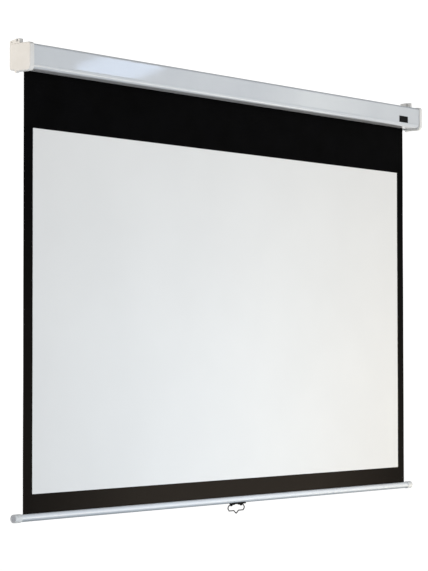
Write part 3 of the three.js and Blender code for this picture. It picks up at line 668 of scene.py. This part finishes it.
@dataclass
class Housing(Maker):
    """The long folded case with its moulded end caps, hanging lugs and blank plate."""

    case_wall: float = 1.4 * MM
    case_break: float = 0.2 * MM
    front_lower_radius: float = 13 * MM
    front_upper_radius: float = 8 * MM
    back_radius: float = 3 * MM
    slot_width: float = 16 * MM
    lip_height: float = 6 * MM
    lip_radius: float = 1.5 * MM
    crease_width: float = 2 * MM
    crease_depth: float = 0.8 * MM
    cap_wall: float = 2.2 * MM
    cap_side_wall: float = 3 * MM
    cap_edge: float = 4 * MM
    top_back_radius: float = 5 * MM
    top_front_radius: float = 9 * MM
    foot_front_radius: float = 14 * MM
    foot_back_radius: float = 8 * MM
    foot_drop: float = 6.5 * MM
    foot_from_wall: float = 17 * MM
    foot_ramp: float = 5 * MM
    ramp_radius: float = 6 * MM
    nub_radius: float = 4.5 * MM
    nub_drop: float = 3.5 * MM
    nub_length: float = 12 * MM
    nub_break: float = 0.8 * MM
    lug_width: float = 14.8 * MM
    lug_inset: float = 2 * MM
    lug_break: float = 0.7 * MM
    slot_from_wall: float = 30 * MM
    hook_slot_width: float = 5.7 * MM
    hook_slot_floor: float = 4 * MM
    lug_front_wall: float = 6.2 * MM
    left_ramp_drop: float = 6 * MM
    right_ramp_drop: float = 1 * MM
    lug_hole_radius: float = 1.8 * MM
    lug_hole_from_wall: float = 9 * MM
    lug_hole_height: float = 3.5 * MM
    well_radius: float = 3.6 * MM
    well_depth: float = 3.2 * MM
    plate_size: Triple = (53 * MM, 0.8 * MM, 22 * MM)
    plate_centre: Pair = (888 * MM, -12.5 * MM)
    plate_corner: float = 1.5 * MM
    plate_break: float = 0.25 * MM

    def build(self) -> None:
        """Builds the case, both caps and the plate."""
        self.case()
        for end in End:
            self.cap(end)
        self.plate()

    def cap_top(self) -> float:
        """Gives the height of the caps' tops."""
        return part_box("housing_case")[1].z + SEAT + self.cap_wall

    def cap_foot(self) -> float:
        """Gives the height of the caps' feet."""
        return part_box("housing_case")[0].z - self.foot_drop

    def case(self) -> None:
        """Folds the case from a box: open ends, a lipped slot under it, round edges and a crease."""
        low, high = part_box("housing_case")
        cloth_y = centre("screen_cloth").y
        slot_front, slot_back = cloth_y - self.slot_width / 2, cloth_y + self.slot_width / 2
        case = block("housing_shell", low, high)
        open_up(case, lambda face: abs(face.normal.x) > SQUARE_ON)
        for y in (slot_front, slot_back):
            slice_faces(case, facing(z=-1), (0, y, 0), (0, 1, 0))
        open_up(case, lambda face: face.normal.z < -SQUARE_ON and slot_front < middle(face).y < slot_back)
        pick_edges(case, lambda edge: edge.is_boundary and runs_along(edge, 0))
        bpy.ops.mesh.extrude_edges_move(TRANSFORM_OT_translate={"value": (0, 0, self.lip_height)})
        round_along_x(case, [
            (low.y, low.z, self.front_lower_radius), (low.y, high.z, self.front_upper_radius),
            (high.y, low.z, self.back_radius), (high.y, high.z, self.back_radius),
            (slot_front, low.z, self.lip_radius), (slot_back, low.z, self.lip_radius)], segments=10)
        crease_low = low.z + self.front_lower_radius
        crease_middle, crease_high = crease_low + self.crease_width / 2, crease_low + self.crease_width
        for z in (crease_middle, crease_high):
            slice_faces(case, facing(y=-1), (0, 0, z), (0, 0, 1))
        pick_edges(case, along_x_at(low.y, crease_middle))
        bpy.ops.transform.translate(value=(0, self.crease_depth, 0))
        modify(case, "SOLIDIFY", thickness=self.case_wall, offset=-1, use_even_offset=True)
        soften(face_out(case), self.case_break, sharper_than=60)
        self.hand_over(case, Body.HOUSING, "case", "housing_case")

    def cap_body(self, low: Vector, high: Vector) -> Object:
        """Moulds a right cap without its lug between two corners: a skirt and a deeper foot with a nub."""
        case_low, case_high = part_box("housing_case")
        top, foot = self.cap_top(), self.cap_foot()
        skirt = case_low.z - SEAT - self.cap_wall
        ramp_start = high.y - self.foot_from_wall
        ramp_end = ramp_start - self.foot_ramp
        cap = block("cap_body", (low.x, low.y, skirt), (high.x, high.y, top))
        for y in (ramp_start, ramp_end):
            slice_faces(cap, facing(z=-1), (0, y, 0), (0, 1, 0))
        pick_faces(cap, lambda face: face.normal.z < -SQUARE_ON and middle(face).y < ramp_end)
        bpy.ops.transform.translate(value=(0, 0, foot - skirt))
        round_along_x(cap, [
            (high.y, top, self.top_back_radius), (low.y, top, self.top_front_radius),
            (low.y, foot, self.foot_front_radius), (high.y, skirt, self.foot_back_radius),
            (ramp_end, foot, self.ramp_radius), (ramp_start, skirt, self.ramp_radius)], segments=8)
        pick_edges(cap, lambda edge: all(near(vertex.co.x, high.x) for vertex in edge.verts))
        round_picked(self.cap_edge, segments=6)
        face_out(cap)
        room_front, room_low, room_high = case_low.y - SEAT, case_low.z - SEAT, case_high.z + SEAT
        room = block("room", (low.x - OVERRUN, room_front, room_low),
                     (high.x - self.cap_side_wall, OVERRUN, room_high))
        round_along_x(room, [(room_front, room_low, self.front_lower_radius + SEAT),
                             (room_front, room_high, self.front_upper_radius + SEAT)], segments=8)
        nub_x = high.x - self.cap_edge
        cloth_y, nub_z = centre("screen_cloth").y, foot - self.nub_drop + self.nub_radius
        nub = rod("nub", self.nub_radius, (nub_x - self.nub_length, cloth_y, nub_z), (nub_x, cloth_y, nub_z))
        soften(nub, self.nub_break, segments=3)
        return combine(combine(cap, "DIFFERENCE", room), "UNION", nub)

    def lug(self, end: End, high: Vector) -> Object:
        """Shapes a right lug up to a corner: an end's ramp, an open hook slot, a front wall and a hole."""
        outer = high.x - self.lug_inset
        inner = outer - self.lug_width
        top = self.cap_top()
        root = top - SEAT - self.cap_wall / 2
        slot_back = -self.slot_from_wall + self.hook_slot_width / 2
        slot_front = slot_back - self.hook_slot_width
        lug = block("lug", (inner, slot_front - self.lug_front_wall, root), (outer, 0, high.z))
        slice_faces(lug, facing(z=1), (0, slot_back, 0), (0, 1, 0))
        pick_edges(lug, along_x_at(0, high.z))
        drop = self.left_ramp_drop if end is End.LEFT else self.right_ramp_drop
        bpy.ops.transform.translate(value=(0, 0, -drop))
        slot = block("hook_slot", (inner - OVERRUN, slot_front, top + self.hook_slot_floor),
                     (outer + OVERRUN, slot_back, high.z + OVERRUN))
        y, z = -self.lug_hole_from_wall, top + self.lug_hole_height
        hole = rod("lug_hole", self.lug_hole_radius, (inner - OVERRUN, y, z), (outer + OVERRUN, y, z), 24)
        soften(combine(lug, "DIFFERENCE", slot), self.lug_break, segments=3)
        return combine(lug, "DIFFERENCE", hole)

    def cap(self, end: End) -> None:
        """Fuses a cap's body and lug and sinks its screw wells."""
        node = f"end_cap_{end.value}"
        low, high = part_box(node)
        if end is End.LEFT:
            low.x, high.x = -high.x, -low.x
        cap = combine(self.cap_body(low, high), "UNION", self.lug(end, high))
        foot = self.cap_foot()
        for place in ("front", "rear"):
            x, y, _ = centre(f"cap_screw_right_{place}")
            well = rod("well", self.well_radius, (x, y, foot - OVERRUN), (x, y, foot + self.well_depth), 32)
            combine(cap, "DIFFERENCE", well)
        name = f"cap_moulding_{end.value}"
        if end is End.LEFT:
            twin = mirrored(cap, name)
            bpy.data.objects.remove(cap)
            cap = twin
        cap.name = name
        self.hand_over(cap, Body.HOUSING, "cap", node, smooth=30)

    def plate(self) -> None:
        """Makes the blank dark plate near the right end of the case's front."""
        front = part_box("housing_case")[0].y
        (width, thickness, height), (x, z) = self.plate_size, self.plate_centre
        plate = block("front_plate", (x - width / 2, front - thickness, z - height / 2),
                      (x + width / 2, front + SEAT, z + height / 2))
        pick_edges(plate, lambda edge: runs_along(edge, 1))
        round_picked(self.plate_corner, segments=5)
        soften(plate, self.plate_break)
        self.hand_over(plate, Body.HOUSING, "bracket")


@dataclass
class Drive(Maker):
    """The roller's works inside the case, and the hem rod."""

    curls: int = 36
    spring_wire: float = 2.4 * MM
    spring_radius: float = 11 * MM
    spring_tail: float = 6 * MM
    steps_per_curl: int = 20
    wrap_turns: float = 1.6
    wrap_gap: float = 0.45 * MM
    wrap_steps: int = 120
    wrap_columns: int = 24

    def build(self, cloth: Cloth) -> None:
        """Builds the spring and the wraps, and dresses the pieces that stay as packed."""
        self.spring()
        self.wraps(cloth)
        for slot, nodes in {
                "steel": ["roller_bracket_left", "roller_bracket_right", "spindle", "ratchet_wheel",
                          "roller_tube", "idle_pin", "pawl_1", "pawl_2", "pawl_pin_1", "pawl_pin_2",
                          "hem_rod"],
                "bush": ["idle_bush", "spring_anchor", "spring_end_plug", "idle_end_plug", "cloth_strip"],
                "spring": ["spindle_retaining_ring"]}.items():
            for node in nodes:
                self.dress(bpy.data.objects[node], slot)
                log.info("%s stays as packed, with finish %s", node, slot)

    def spring(self) -> None:
        """Winds the torsion spring round the spindle, with a straight tail at each end."""
        low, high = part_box("torsion_spring")
        axis = centre("roller_tube")
        length = high.x - low.x - 2 * self.spring_tail
        steps = self.curls * self.steps_per_curl
        points = [round_axis(axis, low.x, self.spring_radius, 0)]
        for step in range(steps + 1):
            x = low.x + self.spring_tail + length * step / steps
            points.append(round_axis(axis, x, self.spring_radius, -2 * math.pi * step / self.steps_per_curl))
        points.append(round_axis(axis, high.x, self.spring_radius, 0))
        spring = swept("wound_spring", points, self.spring_wire / 2, sides=8)
        self.hand_over(spring, Body.HOUSING, "spring", "torsion_spring", smooth=60)

    def wraps(self, cloth: Cloth) -> None:
        """Rolls the turns of cloth that stay on the roller, as one spiral sheet."""
        axis = centre("roller_tube")
        low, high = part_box("cloth_wraps")
        outer = high.y - axis.y - cloth.thickness / 2
        pitch = cloth.thickness + self.wrap_gap
        take()
        bpy.ops.mesh.primitive_grid_add(x_subdivisions=self.wrap_columns, y_subdivisions=self.wrap_steps,
                                        size=1, location=((low.x + high.x) / 2, 0, 0))
        bpy.context.active_object.scale = (high.x - low.x, 1, 1)
        roll = christen("cloth_roll")
        start = SEAT / (outer * 2 * math.pi * self.wrap_turns)
        for vertex in roll.data.vertices:
            share = start + (0.5 - vertex.co.y) * (1 - start)
            turned = self.wrap_turns * share
            vertex.co = round_axis(axis, vertex.co.x, outer - pitch * turned, 2 * math.pi * turned)
        modify(roll, "SOLIDIFY", thickness=cloth.thickness, offset=0)
        self.hand_over(face_out(roll), Body.ROLLER, "black", "cloth_wraps", smooth=60)


@dataclass
class Cloth(Maker):
    """The black cloth and the white picture surface on its front."""

    thickness: float = 0.4 * MM
    cell: float = 40 * MM
    sway_depth: float = 0.3 * MM
    sway_lengths: Pair = (0.74, 0.52)
    sway_slants: Pair = (0.35, -0.2)
    taut_height: float = 120 * MM
    drawn_in: float = 30 * MM

    def build(self, travel: float) -> None:
        """Hangs the cloth with its surface, and gives each of them its own mesh.

        The bar's travel is not used.
        """
        low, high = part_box("screen_cloth")
        cloth = self.sheet("hung_cloth", low, high)
        self.hand_over(cloth, Body.HOUSING, "black", "screen_cloth", smooth=60)
        front_low, front_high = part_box("picture_surface")
        surface = self.sheet("white_surface", front_low, front_high)
        self.hand_over(surface, Body.HOUSING, "picture", "picture_surface", smooth=60)
        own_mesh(cloth)
        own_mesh(surface)

    def sway(self, x: float, z: float, top: float, bottom: float) -> float:
        """Gives how far the cloth stands out along Y: long, faint waves that fade toward top and bottom."""
        fade = max(0.0, min(1.0, (top - z) / self.taut_height, (z - bottom) / self.taut_height))
        (across, down), (across_slant, down_slant) = self.sway_lengths, self.sway_slants
        wave = (math.sin(2 * math.pi * (x / across + across_slant * z))
                * math.cos(2 * math.pi * (z / down + down_slant * x)))
        return self.sway_depth * fade * wave

    def sheet(self, name: str, low: Vector, high: Vector) -> Object:
        """Makes a thin closed sheet between two corners, with the cloth's waves in it."""
        take()
        size = high - low
        bpy.ops.mesh.primitive_grid_add(
            x_subdivisions=round(size.x / self.cell), y_subdivisions=round(size.z / self.cell), size=1,
            location=((low.x + high.x) / 2, low.y, (low.z + high.z) / 2), rotation=(math.pi / 2, 0, 0))
        bpy.context.active_object.scale = (size.x, size.z, 1)
        sheet = christen(name)
        top = 2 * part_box("housing_case")[0].z
        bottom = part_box("screen_cloth")[0].z
        for vertex in sheet.data.vertices:
            vertex.co.y += self.sway(vertex.co.x, vertex.co.z, top, bottom)
        modify(sheet, "SOLIDIFY", thickness=size.y, offset=-1)
        return face_out(sheet)


@dataclass
class BottomBar(Maker):
    """The round bar with its knobs and the saddle that carries the pull."""

    wall: float = 1.4 * MM
    wall_break: float = 0.25 * MM
    slot_width: float = 3 * MM
    sides: int = 96
    knob_wall: float = 1.25 * MM
    knob_end_wall: float = 3.6 * MM
    knob_edge: float = 2.4 * MM
    knob_rim_share: float = 0.95
    knob_break: float = 0.4 * MM
    dish_radius: float = 8 * MM
    dish_depth: float = 1 * MM
    saddle_edge: float = 2 * MM
    saddle_break: float = 0.3 * MM
    ear_size: Pair = (3 * MM, 9 * MM)
    ear_round_share: float = 0.42
    ear_spacing: float = 50 * MM

    def build(self, pull: WirePull) -> None:
        """Builds the tube, both knobs and the saddle."""
        self.tube()
        right = self.knob()
        left = mirrored(right, "knob_left")
        self.hand_over(left, Body.BAR, "knob", "bar_knob_left")
        self.hand_over(right, Body.BAR, "knob", "bar_knob_right")
        self.saddle(pull)

    def tube(self) -> None:
        """Draws the tube, slotted along its top for the hem."""
        low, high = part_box("bar_tube")
        radius = (high.y - low.y) / 2
        y, z = (low.y + high.y) / 2, low.z + radius
        tube = rod("bar_sleeve", radius, (low.x, y, z), (high.x, y, z), self.sides, open_ends=True)
        open_up(tube, lambda face: face.normal.z > 0 and abs(middle(face).y - y) < self.slot_width / 2)
        modify(tube, "SOLIDIFY", thickness=self.wall, offset=-1, use_even_offset=True)
        soften(face_out(tube), self.wall_break, sharper_than=50)
        self.hand_over(tube, Body.BAR, "bar", "bar_tube")

    def knob(self) -> Object:
        """Moulds the right knob: a cup over the bar's end with a round edge and a shallow dish."""
        low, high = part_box("bar_knob_right")
        radius = (high.y - low.y) / 2
        y, z = (low.y + high.y) / 2, (low.z + high.z) / 2
        knob = rod("knob_right", radius, (low.x, y, z), (high.x, y, z), sides=64)
        pick_faces(knob, facing(x=1))
        bpy.ops.mesh.inset(thickness=radius - self.dish_radius)
        bpy.ops.mesh.inset(thickness=self.dish_depth, depth=-self.dish_depth)
        pick_edges(knob, lambda edge: near(middle(edge).x, high.x)
                   and (middle(edge).yz - Vector((y, z))).length > self.knob_rim_share * radius)
        round_picked(self.knob_edge, segments=6)
        pick_faces(knob, facing(x=-1))
        bpy.ops.mesh.inset(thickness=self.knob_wall)
        bpy.ops.mesh.extrude_region_move(
            TRANSFORM_OT_translate={"value": (high.x - low.x - self.knob_end_wall, 0, 0)})
        return soften(face_out(knob), self.knob_break, sharper_than=50)

    def saddle(self, pull: WirePull) -> None:
        """Shapes the saddle: a plate hollowed to the bar with two ears for the wire."""
        low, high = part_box("pull_saddle")
        bar_low, bar_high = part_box("bar_tube")
        bar_radius = (bar_high.y - bar_low.y) / 2
        y, bar_z = (low.y + high.y) / 2, bar_low.z + bar_radius
        thickness, width = self.ear_size
        pivot = pull.pivot()
        underside = pivot.z + pull.axis_drop + 2 * SEAT
        plate = block("saddle", (low.x, low.y, underside), (high.x, high.y, high.z))
        pick_edges(plate, lambda edge: near(middle(edge).z, underside))
        round_picked(self.saddle_edge, segments=4)
        ears = []
        for side in (-1, 1):
            x = pivot.x + side * self.ear_spacing / 2
            ear = block(f"ear{side}", (x - thickness / 2, y - width / 2, low.z),
                        (x + thickness / 2, y + width / 2, underside + self.saddle_edge))
            pick_edges(ear, lambda edge: runs_along(edge, 0) and near(middle(edge).z, low.z))
            round_picked(width * self.ear_round_share, segments=6)
            ears.append(ear)
        combine(plate, "UNION", *ears)
        seat = rod("seat", bar_radius + SEAT, (low.x - OVERRUN, y, bar_z), (high.x + OVERRUN, y, bar_z),
                   self.sides)
        reach = Vector((self.ear_spacing, 0, 0))
        eye = rod("eye", pull.wire_radius + SEAT, pivot - reach, pivot + reach, sides=24)
        combine(plate, "DIFFERENCE", seat, eye)
        soften(face_out(plate), self.saddle_break, sharper_than=50)
        plate.name = "saddle_bracket"
        self.hand_over(plate, Body.BAR, "bracket", "pull_saddle")


@dataclass
class WirePull(Maker):
    """The bent wire that hangs in the saddle's ears."""

    wire_radius: float = 1.7 * MM
    axis_drop: float = 1.4 * MM
    half_width: float = 44 * MM
    shoulder: float = 35 * MM
    foot: float = 36 * MM
    waist_drop: float = 9.5 * MM
    span_drop: float = 18.3 * MM
    height: float = 27.6 * MM
    corner: float = 6 * MM
    vee_half_width: float = 12 * MM
    vee_corner: float = 2.4 * MM
    inner_end: float = 22 * MM

    def pivot(self) -> Vector:
        """Gives the middle of the axis that the pull swings on."""
        low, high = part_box("wire_pull")
        return Vector(((low.x + high.x) / 2, (low.y + high.y) / 2, high.z - self.axis_drop))

    def build(self) -> None:
        """Bends the wire."""
        half = [
            (self.inner_end, 0, 0),
            (self.shoulder, 0, self.corner / 2),
            (self.half_width, -self.waist_drop, self.corner),
            (self.foot, -self.span_drop, self.corner / 2),
            (self.vee_half_width, -self.span_drop, self.vee_corner)]
        left = [(-x, z, radius) for x, z, radius in half]
        line = rounded_line([*left, (0, -self.height, self.vee_corner), *reversed(half)])
        pivot = self.pivot()
        wire = swept("bent_wire", [pivot + Vector((x, 0, z)) for x, z in line], self.wire_radius, sides=16)
        self.hand_over(wire, Body.PULL, "steel", "wire_pull", smooth=60)
        self.dress(wire, "wire")


@dataclass(frozen=True)
class Lamp:
    """One rectangular soft light, turned about its aim and faded over a share of its width at each side."""

    name: str
    place: Triple
    aim: Triple
    size: Pair
    power: float
    colour: Colour
    turn: float = 0
    softness: float = 0

    def hang(self, spared: bpy.types.Collection) -> None:
        """Hangs the light in the studio, with a collection that names what it leaves out."""
        take()
        aimed = (Vector(self.aim) - Vector(self.place)).to_track_quat("-Z", "Y").to_matrix()
        turned = aimed @ Matrix.Rotation(math.radians(self.turn), 3, "Z")
        bpy.ops.object.light_add(type="AREA", location=self.place, rotation=turned.to_euler())
        lamp = bpy.context.active_object
        lamp.name = self.name
        lamp.visible_camera = False
        lamp.data.shape = "RECTANGLE"
        lamp.data.size, lamp.data.size_y = self.size
        lamp.data.energy = self.power
        lamp.data.color = self.colour
        lamp.light_linking.receiver_collection = spared
        if self.softness:
            self.fade(lamp.data)

    def fade(self, light: bpy.types.AreaLight) -> None:
        """Fades the light toward its two sides."""
        nodes = Nodes(light)
        place = nodes.add("ShaderNodeNewGeometry").outputs["Parametric"]
        half = 0.5
        aside = nodes.magnitude(nodes.maths("SUBTRACT", nodes.split(place, "X"), half))
        share = nodes.add("ShaderNodeMapRange", Value=aside, From_Min=half, From_Max=half - self.softness)
        share.interpolation_type = "SMOOTHSTEP"
        nodes.feed(nodes.own("EMISSION").inputs["Strength"], share.outputs["Result"])


LAMPS = [
    Lamp("window_left", (2.0, -2.4, 0.505), (2.0, 0, 0.505), (0.2, 0.6), 1.7, (0.56, 0.72, 1.0), -70, 0.2),
    Lamp("window_right", (3.6, -2.4, 0.505), (3.6, 0, 0.505), (1.2, 0.35), 1.55, (0.97, 1.0, 0.87), 0, 0.45),
    Lamp("low_middle", (-0.1, -1.6, -1.45), (0, 0, -0.9), (1.0, 0.5), 13.5, (0.64, 0.80, 0.98)),
    Lamp("low_right", (0.7, -1.7, -1.45), (0.5, 0, -0.9), (1.0, 0.5), 7.5, (1.0, 0.75, 0.42)),
    Lamp("floor_right", (2.2, -1.0, -1.85), (1.6, -0.5, -0.8), (2.0, 0.5), 9.4, (1.0, 0.93, 0.76)),
    Lamp("side_left", (-1.9, 0.2, 0.25), (-1.0, -0.04, 0), (0.4, 0.4), 3.1, (1.0, 0.82, 0.60)),
]


@dataclass
class Studio:
    """The pale floor, the soft lights and the camera at the photograph's angle."""

    camera_place: Triple = (-5.165, -4.115, -0.8565)
    yaw: float = 51.023
    pitch: float = 2.028
    roll: float = -0.06
    lens: float = 129.6
    floor_drop: float = 0.65
    floor_radius: float = 60
    floor_colour: Colour = paint("f3f3f3")
    floor_patch_colour: Colour = paint("efefef")
    floor_patches: float = 1.5
    floor_roughness: float = 0.9
    bright_span: Pair = (1.6, 4.0)
    room_strength: float = 1.1
    vault_span: Pair = (0.26, 0.42)
    vault_colour: Colour = (0.27, 0.28, 0.29)
    white: Colour = (1, 1, 1)
    black: Colour = (0, 0, 0)

    def build(self) -> None:
        """Sets up the floor, the room, the camera and the lamps, which leave out the floor."""
        spared = bpy.data.collections.new("left_to_the_room")
        spared.objects.link(self.floor())
        spared.collection_objects[0].light_linking.link_state = "EXCLUDE"
        self.room()
        for lamp in LAMPS:
            lamp.hang(spared)
        self.camera()

    def floor(self) -> Object:
        """Lays a pale floor that turns to plain white away from the object."""
        take()
        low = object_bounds()[0]
        bpy.ops.mesh.primitive_circle_add(vertices=96, radius=self.floor_radius, fill_type="NGON",
                                          location=(0, 0, low.z - self.floor_drop))
        floor = christen("studio_floor")
        bench = Bench("pale floor")
        patches = bench.ranged(bench.cloud(self.floor_patches), 0, 1)
        tone = bench.between(patches, self.floor_colour, self.floor_patch_colour)
        away = bench.add("ShaderNodeVectorMath")
        away.operation = "LENGTH"
        bench.feed(away.inputs[0], bench.stretched((1, 1, 0)))
        share = bench.ranged(away.outputs["Value"], 0, 1, *self.bright_span)
        bench.shade({
            "Roughness": self.floor_roughness, "Base Color": bench.between(share, tone, self.black),
            "Emission Color": (*self.white, 1), "Emission Strength": share})
        floor.data.materials.append(bench.material)
        floor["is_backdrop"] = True
        return floor

    def room(self) -> None:
        """Fills the room with soft light: a white band round the horizon and a dimmer, cool vault."""
        world = bpy.data.worlds.new("white room")
        bpy.context.scene.world = world
        nodes = Nodes(world)
        way = nodes.add("ShaderNodeTexCoord").outputs["Object"]
        height = nodes.ranged(nodes.split(way, "Z"), 0, 1, *self.vault_span)
        background = nodes.own("BACKGROUND")
        nodes.feed(background.inputs["Color"], nodes.between(height, self.white, self.vault_colour))
        nodes.feed(background.inputs["Strength"], self.room_strength)
        bpy.context.scene.view_settings.view_transform = "Standard"

    def camera(self) -> None:
        """Sets the camera where the photograph was taken from."""
        data = bpy.data.cameras.new("photo view")
        data.lens = self.lens
        camera = bpy.data.objects.new("photo_camera", data)
        bpy.context.scene.collection.objects.link(camera)
        camera.location = self.camera_place
        turn = Euler((math.radians(90 + self.pitch), 0, math.radians(-self.yaw)), "XYZ").to_matrix()
        camera.rotation_euler = (turn @ Matrix.Rotation(math.radians(self.roll), 3, "Z")).to_euler()
        bpy.context.scene.camera = camera


def main() -> None:
    """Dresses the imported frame."""
    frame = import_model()
    materials = {slot: finish.make() for slot, finish in FINISHES.items()}
    slide = next(joint for joint in frame["joints"] if joint["name"] == "bar_slide")
    cloth = Cloth(materials)
    pull = WirePull(materials)
    Housing(materials).build()
    Drive(materials).build(cloth)
    cloth.build(slide["range_m"][1])
    BottomBar(materials).build(pull)
    pull.build()
    Screws(materials).build()
    Studio().build()


if __name__ == "__main__":
    main()
